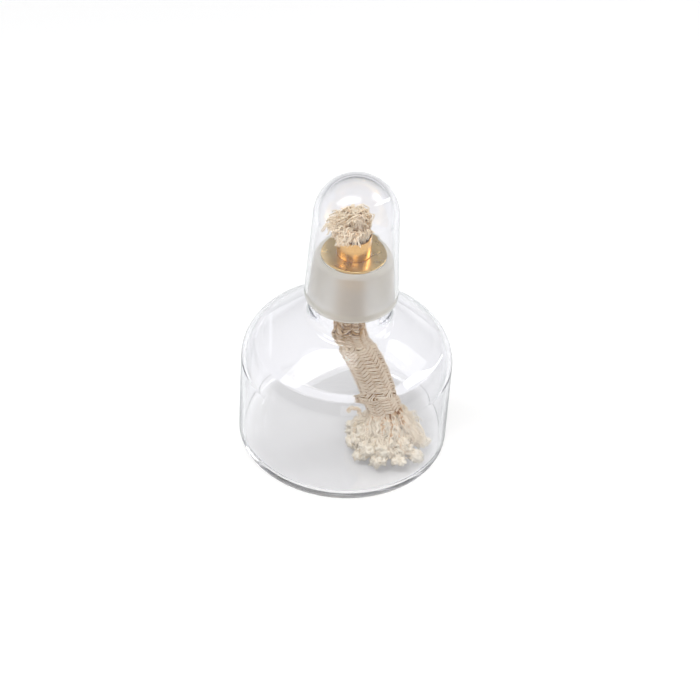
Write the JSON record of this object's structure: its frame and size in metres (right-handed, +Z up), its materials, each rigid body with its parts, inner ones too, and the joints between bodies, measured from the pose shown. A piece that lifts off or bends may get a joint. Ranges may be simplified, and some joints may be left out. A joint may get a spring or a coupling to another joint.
{
  "type": "spirit lamp",
  "caption": "Glass spirit lamp with a squat reservoir, a ground-on glass snuffer cap, a brass burner disc and tube, and a braided cotton wick frayed at both ends.",
  "frame": {"origin": "centre of the flat underside of the glass reservoir, on the surface that the lamp stands on", "axes": "+Z up along the common axis of reservoir, neck, burner tube and cap; +X to the right and -Y towards the viewer in the picture, so that the wick bends towards +X and -Y inside the reservoir"},
  "size_m": [0.075, 0.075, 0.1138],
  "materials": {
    "reservoir_glass": "clear blown glass, neck ground matt outside",
    "cap_glass": "clear blown glass",
    "disc_brass": "turned, satin",
    "tube_brass": "drawn, satin",
    "braid_cotton": "unbleached braided cotton",
    "tuft_cotton": "frayed unbleached cotton",
    "tassel_cotton": "frayed unbleached cotton"
  },
  "bodies": {
    "reservoir": {"glass_reservoir": "reservoir_glass"},
    "burner": {"burner_disc": "disc_brass", "wick_tube": "tube_brass"},
    "wick": {"wick_tuft": "tuft_cotton", "wick_braid": "braid_cotton", "wick_tassel": "tassel_cotton"},
    "cap": {"glass_cap": "cap_glass"}
  },
  "joints": [
    {"name": "burner_lift", "type": "slide", "parent": "reservoir", "child": "burner", "axis": [0, 0, 1], "range_m": [0, 0.09], "deforming": ["wick_braid", "wick_tassel"]},
    {"name": "cap_lift", "type": "slide", "parent": "burner", "child": "cap", "axis": [0, 0, 1], "range_m": [0, 0.055]},
    {"name": "wick_feed", "type": "slide", "parent": "burner", "child": "wick", "axis": [0, 0, 1], "range_m": [0, 0.006]}
  ]
}
